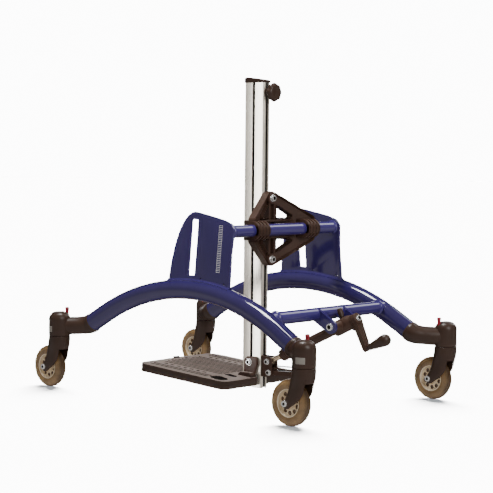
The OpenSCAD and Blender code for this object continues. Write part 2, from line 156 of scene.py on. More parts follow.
def finish(name, slot, dark, light, rough, cloud=14, grain=900, bump=0.05, stretch=(1, 1, 1), crown=0, **fixed):
    coat = bpy.data.materials.new(name)
    coat.use_nodes = True
    coat["slot"] = slot
    tree = coat.node_tree
    shader = tree.nodes["Principled BSDF"]
    start = Wire(tree)
    spot = start.node("ShaderNodeTexCoord", give="Object")
    lines = start.node("ShaderNodeMapping", {}, {"Vector": spot, "Scale": stretch})
    broad = start.node("ShaderNodeTexNoise", {}, {"Vector": spot, "Scale": cloud, "Detail": 3.0})
    fine = start.node("ShaderNodeTexNoise", {}, {"Vector": lines, "Scale": grain, "Detail": 2.0})
    patch = 0.6 * broad + 0.4 * fine
    # painted shade: a tyre's pattern darkens towards its crown
    if crown:
        east = spot.axis("X")
        aside = (east * east - crown * crown) * (0.5 / crown)
        patch = patch * (aside * aside).remap(CROWN_HALF ** 2, FLANK_START ** 2, 0.5, 1.0)
    shade = start.node("ShaderNodeValToRGB", {"stops": ((0.3, dark), (0.7, light))}, {"Fac": patch})
    gloss = rough[0] + (rough[1] - rough[0]) * (0.5 * broad + 0.5 * fine)
    relief = start.node("ShaderNodeBump", {}, {"Height": fine, "Strength": bump, "Distance": MM})
    tree.links.new(shade.out, shader.inputs["Base Color"])
    tree.links.new(gloss.out, shader.inputs["Roughness"])
    tree.links.new(relief.out, shader.inputs["Normal"])
    for key, value in fixed.items():
        shader.inputs[key.replace("_", " ")].default_value = value
    print("finish:", name)
    return coat


# %% The finishes of this frame
BLUE = finish("deep blue gloss paint", "blue_paint", (0.0275, 0.0185, 0.104), (0.0355, 0.0250, 0.128), (0.06, 0.12),
              grain=420, bump=0.03, Specular_IOR_Level=0.4, Coat_Weight=0.3, Coat_Roughness=0.04)
CASTING = finish("sandy black casting", "black_casting", (0.044, 0.0222, 0.0148), (0.072, 0.0400, 0.0282),
                 (0.32, 0.48), grain=1400, bump=0.14, Specular_IOR_Level=0.2)
PLASTIC = finish("satin black moulding", "black_plastic", (0.031, 0.0152, 0.0098), (0.048, 0.0262, 0.0178),
                 (0.24, 0.38), grain=1900, bump=0.08, Specular_IOR_Level=0.3)
# painted sheen: the black moulding made lighter and near-matt for the board's top, so its colour carries the
# reflected light
SHEEN_TREAD = finish("tread with painted sheen", "black_plastic", (0.145, 0.112, 0.098), (0.215, 0.174, 0.152), (0.5, 0.66),
               grain=1600, bump=0.12, Specular_IOR_Level=0.06)
ALLOY = finish("brushed silver column", "column_alloy", (0.775, 0.722, 0.625), (0.845, 0.795, 0.70), (0.24, 0.30),
               grain=1300, bump=0.02, stretch=(1, 1, 0.004), Metallic=0.7)
# painted shade: a near-black coat for the insides of slots, sockets and openings, where shade falls
PAINTED_SHADE = finish("painted shade in slots and sockets", "column_alloy", (0.016, 0.013, 0.012), (0.030, 0.025, 0.022), (0.6, 0.8), bump=0.03,
               Specular_IOR_Level=0.05)
ZINC = finish("bright zinc", "zinc", (0.72, 0.72, 0.72), (0.88, 0.88, 0.86), (0.16, 0.34), grain=700, bump=0.05,
              Metallic=0.8)
# the tyre's crown gets painted shade
AMBER = finish("amber tyre", "amber_tyre", (0.115, 0.062, 0.024), (0.470, 0.290, 0.124), (0.16, 0.3), cloud=30,
               bump=0.05, crown=TRACK * MM, Specular_IOR_Level=0.6)
IVORY = finish("ivory hub", "ivory_hub", (0.68, 0.54, 0.35), (0.95, 0.82, 0.61), (0.26, 0.42), cloud=40, bump=0.04)
RED = finish("red pin", "red_pin", (0.21, 0.004, 0.012), (0.33, 0.008, 0.022), (0.25, 0.4), bump=0.03)
ROD = finish("yellow zinc rod", "zinc", (0.62, 0.48, 0.33), (0.80, 0.66, 0.48), (0.18, 0.32), grain=700, bump=0.05,
             Metallic=0.8)
PRINT = finish("white print", "zinc", (0.66, 0.66, 0.70), (0.86, 0.86, 0.88), (0.4, 0.55), cloud=160, bump=0.02)
PANEL = finish("bare grey panel", "zinc", (0.20, 0.185, 0.165), (0.26, 0.245, 0.22), (0.35, 0.5), cloud=90, bump=0.06)

# %% [markdown]
# ## Three ways to make a shape
# Most pieces here are turned, cut from plate or bent from tube. `turned` spins an outline about an axis,
# as a lathe does, and the spin operator closes the ring by itself.

# %% Turned shapes
def turned(outline, steps=64):
    bm = bmesh.new()
    dots = [bm.verts.new((r, 0, h)) for r, h in outline]
    rim = [bm.edges.new(pair) for pair in zip(dots, dots[1:])]
    bmesh.ops.spin(bm, geom=dots + rim, cent=(0, 0, 0), axis=(0, 0, 1), dvec=(0, 0, 0), angle=math.tau,
                   steps=steps, use_merge=True, use_duplicate=False)
    bmesh.ops.remove_doubles(bm, verts=bm.verts[:], dist=0.001)
    return bm


trial = turned([(0, 0), (5, 0), (5, 10), (0, 10)], 16)
print("a turned peg with 16 sides has", len(trial.faces), "faces")
trial.free()

# %% [markdown]
# ## Plates
# A flat part could be a cube that is pulled about, but a real one is cut from sheet along a line. So a
# line is drawn first and its corners are softened, then `cut_plate` fills it, holes and all, extrudes it
# to its thickness and bevels the rims.

# %% Soft outlines
def soften(points, radius=0.0, steps=6):
    """Rounds the corners of a closed outline. A third number is a corner's own radius."""
    out = []
    for i, p in enumerate(points):
        r = p[2] if len(p) > 2 else radius
        a, b, c = (Vector(q[:2]) for q in (points[i - 1], p, points[(i + 1) % len(points)]))
        if r == 0:
            out.append(b)
            continue
        u, v = (a - b).normalized(), (c - b).normalized()
        half = math.acos(max(-1, min(1, u.dot(v)))) / 2
        cut = min(r / math.tan(half), 0.48 * (a - b).length, 0.48 * (c - b).length)
        middle = b + (u + v).normalized() * (cut / math.cos(half))
        first, last = b + u * cut - middle, b + v * cut - middle
        swing = math.atan2(first.x * last.y - first.y * last.x, first.dot(last))
        out += [middle + Matrix.Rotation(swing * k / steps, 2) @ first for k in range(steps + 1)]
    return out


def ring(x, y, r, steps=32):
    return [Vector((x + r * math.cos(math.tau * k / steps), y + r * math.sin(math.tau * k / steps)))
            for k in range(steps)]


def box_outline(x0, y0, x1, y1, radius=0.0, steps=5):
    return soften([(x0, y0), (x1, y0), (x1, y1), (x0, y1)], radius, steps)


print("a square with round corners has", len(box_outline(0, 0, 10, 10, 2)), "points")


# %% Cut plates
def cut_plate(outline, thick, holes=(), edge=1.0, steps=3):
    bm = bmesh.new()
    for line in (outline, *holes):
        dots = [bm.verts.new((p[0], p[1], 0)) for p in line]
        for i, dot in enumerate(dots):
            bm.edges.new((dots[i - 1], dot))
    if holes:
        bmesh.ops.triangle_fill(bm, use_beauty=True, use_dissolve=False, edges=bm.edges[:])
    else:
        bmesh.ops.edgenet_fill(bm, edges=bm.edges[:])
    top = bmesh.ops.extrude_face_region(bm, geom=bm.faces[:] + bm.edges[:] + bm.verts[:])
    moved = [g for g in top["geom"] if isinstance(g, bmesh.types.BMVert)]
    bmesh.ops.translate(bm, vec=(0, 0, thick), verts=moved)
    bmesh.ops.recalc_face_normals(bm, faces=bm.faces[:])
    if edge:
        sharp = [e for e in bm.edges if len(e.link_faces) == 2 and e.calc_face_angle(0) > 1.2
                 and abs(e.verts[0].co.z - e.verts[1].co.z) < 0.001]
        bmesh.ops.bevel(bm, geom=sharp, offset=edge, offset_type="OFFSET", segments=steps, profile=0.5,
                        affect="EDGES", clamp_overlap=True, material=-1)
    return bm


trial = cut_plate(box_outline(0, 0, 10, 10, 2), 3)
print("cut as a plate it has", len(trial.faces), "faces")
trial.free()

# %% [markdown]
# ## Tubes and assembly
# `bent_tube` sweeps a circle along a path, with its own radius at each point. A curve does that better
# than a row of cylinders, because its rings meet at every bend. `weld` puts one shape into another, and
# `fit_piece` merges doubles, turns the faces outwards, places the mesh and lets it ride on its body.

# %% Bent tubes
def show(thing):
    bpy.context.scene.collection.objects.link(thing)


def bent_tube(path, radii, sides=32):
    line = bpy.data.curves.new("path", "CURVE")
    line.dimensions = "3D"
    run = line.splines.new("POLY")
    run.points.add(len(path) - 1)
    for dot, p, r in zip(run.points, path, radii):
        dot.co, dot.radius = (*p, 1), r
    line.bevel_depth, line.bevel_resolution, line.use_fill_caps = 1.0, sides // 4 - 2, True
    holder = bpy.data.objects.new("path", line)
    show(holder)
    mesh = bpy.data.meshes.new_from_object(holder.evaluated_get(bpy.context.evaluated_depsgraph_get()))
    bm = bmesh.new()
    bm.from_mesh(mesh)
    bpy.data.objects.remove(holder)
    bpy.data.curves.remove(line)
    bpy.data.meshes.remove(mesh)
    return bm


# %% Weld shapes and fit a piece
def weld(whole, part, place=Matrix()):
    move(part, place)
    scrap = bpy.data.meshes.new("scrap")
    part.to_mesh(scrap)
    part.free()
    whole.from_mesh(scrap)
    bpy.data.meshes.remove(scrap)


def fit_piece(bm, name, body, coat, *nodes, crease=32, extra=(), pick=None):
    bmesh.ops.remove_doubles(bm, verts=bm.verts[:], dist=0.001)
    bmesh.ops.recalc_face_normals(bm, faces=bm.faces[:])
    for face in bm.faces if pick else ():
        face.material_index = pick(face)
    move(bm, PLACE)
    mesh = bpy.data.meshes.new(name)
    bm.to_mesh(mesh)
    bm.free()
    mesh.shade_smooth()
    mesh.set_sharp_from_angle(angle=math.radians(crease))
    for layer in (coat, *extra):
        mesh.materials.append(layer)
    piece = bpy.data.objects.new(name, mesh)
    show(piece)
    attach(piece, body)
    if nodes:
        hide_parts(*nodes)
    print(f"{name}: {len(mesh.polygons)} faces on {body}")


# %% [markdown]
# ## The leaning arches
# Each side of the base is one steel tube, bent to a single radius with short straight legs, and leaning
# inwards. A bevelled curve would follow the bend roughly, but a circle spun about the bend's centre follows
# it exactly. Extruding its end rings gives the legs, and a lean and a mirror make both sides from one shape.

# %% The bend of an arch
ARCH_DROP, ARCH_TOP, ARCH_X, LEAN, LEG, TUBE_R, END_Y = 102.5, 260, 199, 5.5, 57, 22, 321
BOW = 2 * math.atan(ARCH_DROP / (END_Y + LEG))
ARCH_R = (ARCH_DROP - LEG * math.sin(BOW)) / (1 - math.cos(BOW))


def side(sx):
    return Matrix.Scale(sx, 4, (1, 0, 0)) @ at(ARCH_X, 0, ARCH_TOP) @ turn("Y", -LEAN)


def bow(outline, from_deg, to_deg, steps):
    """Spins a closed outline, given as distance out and height over the centre line, along the arch."""
    bm = bmesh.new()
    dots = [bm.verts.new((p[0], 0, p[1])) for p in outline]
    edges = [bm.edges.new((dots[i - 1], dot)) for i, dot in enumerate(dots)]
    bmesh.ops.rotate(bm, cent=(0, 0, -ARCH_R), matrix=turn("X", -from_deg), verts=dots)
    bmesh.ops.spin(bm, geom=dots + edges, cent=(0, 0, -ARCH_R), axis=(1, 0, 0), dvec=(0, 0, 0),
                   angle=math.radians(from_deg - to_deg), steps=steps, use_merge=False, use_duplicate=False)
    return bm


def close_ends(bm):
    bmesh.ops.holes_fill(bm, edges=[e for e in bm.edges if e.is_boundary], sides=0)


print("the arches are bent to", round(ARCH_R, 1), "mm")

# %% Bend the arches
HANDS = ((1, "right"), (-1, "left"))
for sx, hand in HANDS:
    tube = bow(ring(0, 0, TUBE_R, 48), -math.degrees(BOW), math.degrees(BOW), 84)
    for sy in (-1, 1):
        rim = [e for e in tube.edges if e.is_boundary and e.verts[0].co.y * sy > 0]
        out = bmesh.ops.extrude_edge_only(tube, edges=rim)["geom"]
        bmesh.ops.translate(tube, vec=(0, sy * LEG * math.cos(BOW), -LEG * math.sin(BOW)),
                            verts=[g for g in out if isinstance(g, bmesh.types.BMVert)])
    close_ends(tube)
    move(tube, side(sx))
    fit_piece(tube, f"arch_tube_{hand}", "base", BLUE, f"arch_{hand}")

# %% [markdown]
# ## The slotted side plates
# A flat plate stands on each arch. Its outline is a handful of measured points with softened corners, cut
# with a long slot and two small holes. A wide bevel gives the rolled paint edge that catches the light,
# and a hollow weld fillet runs along the foot of the plate, spun along the same arch.

# %% Cut the side plates
PLATE_OUTLINE = soften([(-71, -8), (-69, 20, 90), (-65, 58, 200), (-56, 102, 160), (-45, 135, 120), (-27, 164, 60),
                        (-5, 178.5, 26), (40, 171, 200), (88, 162, 70), (112.5, 153.5, 10), (122, 141, 12),
                        (120.5, 122, 30), (118.2, 90, 200), (120, -8)], steps=7)
PLATE_T = 6
PLATE_CUTS = [box_outline(-10, 33, 12, 160, 3), ring(32, 26, 2.6, 20), ring(104, 18, 2.6, 20)]
FILLET = ((2, 17), (2, 26), (3, 26), (3.4, 24.6), (4.6, 22.9), (7, 21.7), (10, 20.5), (9, 17))
FILLET_FROM, FILLET_TO = -7.3, 12.6

for sx, hand in HANDS:
    plate = cut_plate(PLATE_OUTLINE, PLATE_T, PLATE_CUTS, edge=1.5, steps=4)
    move(plate, side(sx) @ UPRIGHT @ at(0, 0, -PLATE_T / 2))
    fit_piece(plate, f"side_plate_{hand}", "base", BLUE, f"plate_{hand}")
    seams = bmesh.new()
    for k in (-1, 1):
        bead = bow([(k * x, z) for x, z in FILLET], FILLET_FROM, FILLET_TO, 30)
        close_ends(bead)
        weld(seams, bead, side(sx))
    fit_piece(seams, f"plate_weld_{hand}", "base", BLUE)

# %% [markdown]
# ## The printed scale
# A ladder of white marks runs up the rear of each side plate, so that the settings of both sides can be
# matched. A picture on the plate could carry them, but slivers of plate a fifth of a millimetre thick stay
# sharp from any distance.

# %% Print the scale
MARKS, MARK_STEP, MARK_FOOT, SCALE_Y, PRINT_T = 28, 3.86, 44, 83, 0.2
MARK_TOP = MARK_FOOT + (MARKS - 1) * MARK_STEP
for sx, hand in HANDS:
    ladder = bmesh.new()
    for k in range(MARKS):
        rung = MARK_FOOT + k * MARK_STEP
        weld(ladder, cut_plate(box_outline(SCALE_Y - 5.4, rung - 0.5, SCALE_Y + 5.4, rung + 0.5), PRINT_T, edge=0))
    for rail in (SCALE_Y - 5.2, SCALE_Y + 5.2):
        weld(ladder, cut_plate(box_outline(rail - 0.3, MARK_FOOT - 1, rail + 0.3, MARK_TOP + 1), PRINT_T, edge=0))
    move(ladder, side(sx) @ UPRIGHT @ at(0, 0, PLATE_T / 2 - 0.05))
    fit_piece(ladder, f"plate_scale_{hand}", "base", PRINT)

# %% [markdown]
# ## Crossbar, cross tube and lugs
# Two round tubes tie the sides together: the upper one is the hinge of the column, and the lower one
# carries the lugs of the crank. Turning them on their axis and adding a raised weld bead at each end
# makes them look joined to the plates and arches instead of pushed through them.

# %% Turn the tubes and cut the lugs
BAR, CROSS, PIVOT = (104, 395), (241, 212), (285, 187)
BAR_R, BAR_HALF, BRACE_R, BRACE_HALF = 14, 186, 14.5, 197


def bar(radius, half, bead):
    outline = [(0, -half), (radius, -half)]
    for k in (-1, 1):
        foot = k * (half - bead)
        outline += [(radius, foot - 4), (radius + 1.6, foot - 3.4), (radius + 2.8, foot - 1.6), (radius + 3.2, foot),
                    (radius + 2.8, foot + 1.6), (radius + 1.6, foot + 3.4), (radius, foot + 4)]
    return turned(outline + [(radius, half), (0, half)], 48)


crossbar = bar(BAR_R, BAR_HALF, 8.5)
move(crossbar, at(0, *BAR) @ turn("Y", 90))
fit_piece(crossbar, "hinge_bar", "base", BLUE, "crossbar")
brace = bar(BRACE_R, BRACE_HALF, 16)
move(brace, at(0, *CROSS) @ turn("Y", 90))
fit_piece(brace, "lower_brace", "base", BLUE, "cross_tube")

LUG_X, LUG_T, LUG_BOLT_R = 44, 6, 6
drop = Vector(PIVOT) - Vector(CROSS)
LUG_TURN = math.degrees(math.atan2(drop.y, drop.x))
lug_line = [p for p in ring(0, 0, BRACE_R + 0.4, 40) if p.x <= 0.1]
lug_line += [p + Vector((drop.length, 0)) for p in ring(0, 0, 15.5, 40) if p.x >= -0.01]
lug_line.sort(key=lambda p: math.atan2(p.y, p.x - drop.length / 2))
lug_cuts = [ring(0, 0, BRACE_R - 0.05, 40), ring(drop.length, 0, LUG_BOLT_R, 24)]
for sx, hand in HANDS:
    lug = cut_plate(lug_line, LUG_T, lug_cuts, edge=1.0)
    move(lug, at(sx * LUG_X - LUG_T / 2, *CROSS) @ UPRIGHT @ turn("Z", LUG_TURN))
    fit_piece(lug, f"crank_lug_{hand}", "base", BLUE, f"lug_{hand}")

# %% [markdown]
# ## Bolts
# Every joint of the frame shows the same bright socket screw: a chamfered head with a six-sided hole, on
# a thin washer. A plate with a hexagonal hole, standing on a turned disc, is exactly that shape. The hole's
# walls and floor get painted shade.

# %% A socket screw and a cross bolt
def screw(radius, height, socket, washer=1.6):
    """A screw that stands on the plane z = 0 and looks along +Z. Its socket is open down to that plane."""
    bm = bmesh.new()
    rim = radius + washer
    weld(bm, turned([(socket, 0), (rim, 0), (rim, 0.9), (rim - 0.5, 1.3), (socket, 1.3), (socket, 0)], 40))
    head = cut_plate(ring(0, 0, radius, 40), height - 1.2, [ring(0, 0, socket, 6)], edge=0.7, steps=3)
    weld(bm, head, at(0, 0, 1.2))
    # the socket's walls and floor get painted shade
    for face in bm.faces:
        face.material_index = int(face.calc_center_median().to_2d().length < socket)
    return bm


def shank(radius, start, end):
    """The stem of a screw, all in painted shade. Its end closes the bottom of the socket."""
    bm = turned([(0, start), (radius, start), (radius, end), (0, end)], 32)
    for face in bm.faces:
        face.material_index = 1
    return bm


def cross_bolt(half, stem, *head):
    """A bolt along X about the origin: a stem with a screw at each end."""
    bm = bmesh.new()
    weld(bm, shank(stem, 0.1 - half, half - 0.1), turn("Y", 90))
    for k in (-1, 1):
        weld(bm, screw(*head), at(k * half, 0, 0) @ turn("Y", 90 * k))
    return bm


# %% Fit the lug screws
bolts = bmesh.new()
for sx in (-1, 1):
    weld(bolts, screw(8, 5, 4.6, 0.0), at(sx * (LUG_X + LUG_T / 2), *PIVOT) @ turn("Y", 90 * sx))
    weld(bolts, shank(LUG_BOLT_R, -9.9, 9.9), at(sx * 37, *PIVOT) @ turn("Y", 90))
fit_piece(bolts, "lug_screws", "base", ZINC, "lug_bolts", extra=[PAINTED_SHADE])

# %% [markdown]
# ## Caster housings
# Each leg ends in a black elbow that runs into an upright, round-shouldered housing. The elbow is a tube
# swept along a soft bend and the housing is turned, with a chamfer at the split line where the fork
# swivels. Two plain shapes that sink into each other are easier to adjust than one that is sculpted.

# %% Where the legs end
BASE_Y, SPLIT, DOME = 385, 127, 185
HOUSE_R, SHOULDER_R = 25.5, 18
SOCKET, KNEE, BEND_STEPS = 9, 16, 16
CORNERS = {"rr": (1, 1), "rl": (-1, 1), "fr": (1, -1), "fl": (-1, -1)}


def quarter(cx, cy, r, start, end, steps=8):
    return [(cx + r * math.cos(math.radians(start + (end - start) * k / steps)),
             cy + r * math.sin(math.radians(start + (end - start) * k / steps))) for k in range(steps + 1)]


def leg_end(sx, sy):
    """Where the arch ends, and the direction in which its leg points."""
    frame_side = side(sx)
    down = ARCH_R * (math.cos(BOW) - 1) - LEG * math.sin(BOW)
    pointing = Vector((0, sy * math.cos(BOW), -math.sin(BOW)))
    return frame_side @ Vector((0, sy * END_Y, down)), frame_side.to_3x3() @ pointing


print("the right rear leg ends at", [round(n, 1) for n in leg_end(1, 1)[0]])

# %% Make the housings
for tag, (sx, sy) in CORNERS.items():
    centre = Vector((sx * TRACK, sy * BASE_Y, SPLIT + 24))
    end, along = leg_end(sx, sy)
    house = bmesh.new()
    shell = [(0, SPLIT), (24.2, SPLIT), (25.2, SPLIT + 0.5), (HOUSE_R, SPLIT + 1.5), (HOUSE_R, DOME - SHOULDER_R)]
    shell += quarter(HOUSE_R - SHOULDER_R, DOME - SHOULDER_R, SHOULDER_R, 0, 90, 14)[1:] + [(0, DOME)]
    weld(house, turned(shell, 72), at(centre.x, centre.y, 0))
    start, knee = end - along * SOCKET, end + along * KNEE
    path = [start + (end - start) * k / 3 for k in range(3)]
    for k in range(BEND_STEPS + 1):
        t = k / BEND_STEPS
        path.append(end * (1 - t) ** 2 + 2 * knee * t * (1 - t) + centre * t * t)
    radii = [22.2, 23.4, 23.8] + [23.6 - 2.4 * min(1, k / 8) for k in range(BEND_STEPS + 1)]
    weld(house, bent_tube(path, radii, 40))
    fit_piece(house, f"caster_housing_{tag}", "base", PLASTIC, f"housing_{tag}")

# %% [markdown]
# ## Bare panels
# A small panel wraps the outer face of each housing. It is cut flat, its long edges are divided, and its
# points are then bent round the housing's axis, because a flat one would stand off at its ends.

# %% Bend the panels
PANEL_Z, PANEL_SEAT, PANEL_BEND, PANEL_SWING = 144, 25.0, 25.7, 20
swing = math.radians(PANEL_SWING)
for tag, (sx, sy) in CORNERS.items():
    panel = cut_plate(box_outline(-11, -7, 11, 7, 1.4), 1.0, edge=0.4, steps=2)
    bmesh.ops.subdivide_edges(panel, edges=[e for e in panel.edges if e.calc_length() > 12], cuts=8)
    for v in panel.verts:
        angle, reach = v.co.x / PANEL_BEND, PANEL_SEAT + v.co.z
        v.co = Vector((math.sin(angle) * reach, v.co.y, math.cos(angle) * reach))
    facing = math.degrees(math.atan2(sy * math.sin(swing), sx * math.cos(swing)))
    move(panel, at(sx * TRACK, sy * BASE_Y, PANEL_Z) @ turn("Z", facing) @ UPRIGHT)
    fit_piece(panel, f"bare_panel_{tag}", "base", PANEL)

# %% [markdown]
# ## Forks
# The fork hangs under the housing as one hood: round at the split line, then flattening into two cheeks
# that sweep forward to the axle. Stacked rings, each squarer than the one above, are bridged to one
# skin. Planes then cut the crown and the two cheeks out of it, with room for the wheel. A boolean could
# do that too, but a plane leaves cleaner edges.

# %% Shape the hood
# height, front, rear, half width, squareness of the front and of the rear
HOOD = ((126.4, -25.0, 25.0, 25.0, 2.0, 2.0), (126.0, -25.4, 25.4, 25.4, 2.0, 2.0),
        (116, -25.5, 25.2, 25.3, 2.2, 2.1), (106, -25.6, 23.9, 24.2, 2.8, 2.2),
        (97, -25.8, 21.3, 22.8, 3.6, 2.4), (90, -26.4, 18.7, 21.9, 4.4, 2.5),
        (84, -27.6, 17.0, 21.6, 5.0, 2.7), (76, -29.8, 14.0, 21.6, 5.0, 3.0), (70, -32.0, 10.6, 21.6, 5.0, 3.4),
        (65, -34.6, 5.6, 21.6, 5.0, 4.0), (60, -38.0, 0.4, 21.6, 5.0, 4.6), (54.5, -42.4, -6.2, 21.6, 5.0, 5.0),
        (50, -44.4, -11.8, 21.6, 5.0, 5.0), (45, -43.4, -19.0, 21.5, 4.6, 4.6), (41, -40.2, -24.2, 21.2, 4.0, 4.0),
        (38.6, -36.0, -28.6, 20.6, 3.2, 3.2))


def hood():
    bm = bmesh.new()
    above = None
    for z, front, rear, wide, square, plump in HOOD:
        band = bmesh.ops.create_circle(bm, cap_ends=False, radius=1, segments=56)["verts"]
        for v in band:
            a = math.atan2(v.co.y, v.co.x)
            c, s = math.cos(a), math.sin(a)
            power = 2 / (plump if s > 0 else square)
            v.co = (math.copysign(abs(c) ** power, c) * wide,
                    (front + rear) / 2 + math.copysign(abs(s) ** power, s) * (rear - front) / 2, z)
        edges = list({e for v in band for e in v.link_edges if e.other_vert(v) in band})
        if above:
            bmesh.ops.bridge_loops(bm, edges=above + edges)
        above = edges
    close_ends(bm)
    bmesh.ops.recalc_face_normals(bm, faces=bm.faces[:])
    return bm


def keep(bm, point, normal):
    """Cuts a closed shape with a plane, keeps what lies behind it and closes the cut."""
    bmesh.ops.bisect_plane(bm, geom=bm.verts[:] + bm.edges[:] + bm.faces[:], dist=0.0001, plane_co=point,
                           plane_no=normal, clear_outer=True)
    close_ends(bm)
    return bm


print("the hood has", len(HOOD), "rings")

# %% Cut the forks and fit the axles
ROOF_Z, WALL_Z, WALL_Y, WHEEL_ROOM = 104, 95, 12, 15.2
AXLE_Y, AXLE_Z = -34, 50
for tag, (sx, sy) in CORNERS.items():
    fork = bmesh.new()
    here = at(sx * TRACK, sy * BASE_Y, 0)
    weld(fork, keep(hood(), (0, 0, ROOF_Z - 0.5), (0, 0, -1)), here)
    below = keep(keep(hood(), (0, 0, WALL_Z), (0, 0, -1)), (0, 0, ROOF_Z), (0, 0, 1))
    weld(fork, keep(below, (0, WALL_Y, 0), (0, -1, 0)), here)
    for k in (-1, 1):
        weld(fork, keep(keep(hood(), (0, 0, ROOF_Z), (0, 0, 1)), (k * WHEEL_ROOM, 0, 0), (-k, 0, 0)), here)
    weld(fork, turned([(0, SPLIT - 2), (8, SPLIT - 2), (8, SPLIT + 38), (0, SPLIT + 38)], 40), here)
    fit_piece(fork, f"caster_fork_{tag}", f"fork_{tag}", PLASTIC, f"fork_{tag}", crease=40)
    axle = cross_bolt(21.5, 4, 6.5, 3.4, 3.4, 0.0)
    move(axle, here @ at(0, AXLE_Y, AXLE_Z))
    fit_piece(axle, f"axle_screw_{tag}", f"fork_{tag}", ZINC, f"axle_{tag}", extra=[PAINTED_SHADE])

# %% [markdown]
# ## Wheels
# A soft amber tyre is moulded round a paler hub. The tyre is turned from its round section, and the hub
# is a disc with a ring of ten lightening holes, a rim on each side and a boss for the axle. A thin web of
# the tyre lies between the hub's two discs, so that amber shows at the bottom of the holes.

# %% Tyre and hub
def wheel_tyre():
    section = quarter(37, 0, 13, -122, 122, 30)
    section += [(31.2, 10.2), (31.2, -10.2), section[0]]
    return turned(section, 80)


def wheel_hub():
    hub = bmesh.new()
    holes = [ring(p.x, p.y, 5.0, 24) for p in ring(0, 0, 21, 10)]
    for face in (-4.5, 1.5):
        weld(hub, cut_plate(ring(0, 0, 33, 80), 3, holes + [ring(0, 0, 5, 32)], edge=0.7, steps=2), at(0, 0, face))
    weld(hub, turned([(27.6, -10.4), (28.2, -11), (33.6, -11), (34.6, -10.2), (34.6, 10.2), (33.6, 11), (28.2, 11),
                      (27.6, 10.4), (27.6, -10.4)], 80))
    for k in (-1, 1):
        weld(hub, turned([(14, k * 4), (14, k * 6.4), (14.6, k * 7), (15.6, k * 7), (16.2, k * 6.4), (16.2, k * 4),
                          (14, k * 4)], 64))
    weld(hub, turned([(4.05, -13), (9.6, -13), (11, -11.6), (11, 11.6), (9.6, 13), (4.05, 13), (4.05, -13)], 56))
    return hub


# %% Turn the wheels
for tag, (sx, sy) in CORNERS.items():
    spot = at(sx * TRACK, sy * BASE_Y + AXLE_Y, AXLE_Z) @ turn("Y", 90)
    tyre, hub = wheel_tyre(), wheel_hub()
    weld(tyre, turned([(6, -1.6), (32, -1.6), (32, 1.6), (6, 1.6), (6, -1.6)], 64))
    for shape, label, coat in ((tyre, "tyre", AMBER), (hub, "hub", IVORY)):
        move(shape, spot)
        fit_piece(shape, f"wheel_{label}_{tag}", f"wheel_{tag}", coat, f"{label}_{tag}")

# %% [markdown]
# ## Lock pins
# A red pin with a soft round head stands on each housing and stops its swivel when it is pressed down. It
# is turned from one outline, like a pin from a lathe, long enough to stay in its hole when it is up.

# %% Turn the lock pins
PIN_X, PIN_Y = 18, 7
pin_line = [(0, -26), (3.9, -26), (3.9, 2.4), (4.6, 2.8), (4.9, 3.6), (4.9, 8), (4.2, 9.4), (2.6, 10.2), (0, 10.4)]
for tag, (sx, sy) in CORNERS.items():
    pin = turned(pin_line, 32)
    move(pin, at(sx * (TRACK - PIN_X), sy * (BASE_Y - PIN_Y), DOME))
    fit_piece(pin, f"lock_pin_{tag}", f"lock_{tag}", RED, f"pin_{tag}")

# %% [markdown]
# ## The slotted column
# The column is an extruded alloy profile: rounded corners, an undercut slot in each face and two hollow
# chambers. Its cross-section is one outline with two holes, and a single extrusion gives its length, just
# as the real one is pressed through a die.

# %% Extrude the column
COL_W, COL_D, COL_R, COL_TOP, COL_FOOT = 12.5, 30, 3.5, 734, 20
SLOT_HALF, SLOT_LIP, SLOT_DEEP = 7.5, 1.5, 9


def column_outline():
    def slot(far, mouth=4.0):
        return [(-mouth, far), (-mouth, far - 2.6), (-mouth - 3, far - 2.6), (-mouth - 3, far - 8),
                (mouth + 3, far - 8), (mouth + 3, far - 2.6), (mouth, far - 2.6), (mouth, far)]
    rear = slot(COL_D)
    right = [(y, -x) for x, y in slot(COL_W)]
    corner = quarter(COL_W - COL_R, COL_D - COL_R, COL_R, 90, 0, 12)
    flank = [(COL_W, y) for y in (19, 16, 13, 10, 7)]
    right = flank + right + [(x, -y) for x, y in reversed(flank)]
    half = rear + corner + right + [(x, -y) for x, y in reversed(corner)]
    # the broad faces bulge a little, so that they catch the light
    crowned = [(x - 1.2 * (y / 22) ** 2 * max(0, (x - 4.5) / 8), y) for x, y in half]
    return [Vector(p) for p in crowned] + [-Vector(p) for p in crowned]


chambers = [box_outline(-5.5, y - 4, 5.5, y + 4, 1) for y in (-14.5, 14.5)]
column = cut_plate(column_outline(), COL_TOP - COL_FOOT, chambers, edge=0)
move(column, at(0, COLUMN_Y, COL_FOOT))


# faces deep inside the slots take the second coat, painted shade; the lips and broad faces stay alloy
def painted_slot_shade(face):
    spot = face.calc_center_median()
    x, y = abs(spot.x), abs(spot.y - COLUMN_Y)
    in_side = y < SLOT_HALF and SLOT_LIP < COL_W - x < SLOT_DEEP
    return int(in_side or (x < SLOT_HALF and SLOT_LIP < COL_D - y < SLOT_DEEP))


fit_piece(column, "column_profile", "column", ALLOY, "column", crease=24, extra=[PAINTED_SHADE], pick=painted_slot_shade)

# %% [markdown]
# ## End cap and clamp knob
# A wedge of black plastic closes the column, and a lobed knob behind it clamps what slides in the slot.
# The wedge is cut from its side view. The knob starts as a turned body whose rim is pulled in by a wave,
# which keeps all its lobes alike.

# %% Cap and knob
wedge = soften([(-COL_D, 0), (COL_D, 0), (COL_D, 4), (25, 6.5, 6), (-24, 13, 3), (-COL_D, 10.5, 2)], 0.0)
cap = cut_plate(wedge, 2 * COL_W, edge=1.2)
move(cap, at(-COL_W, COLUMN_Y, COL_TOP) @ UPRIGHT)
fit_piece(cap, "column_cap", "column", PLASTIC, "end_cap")

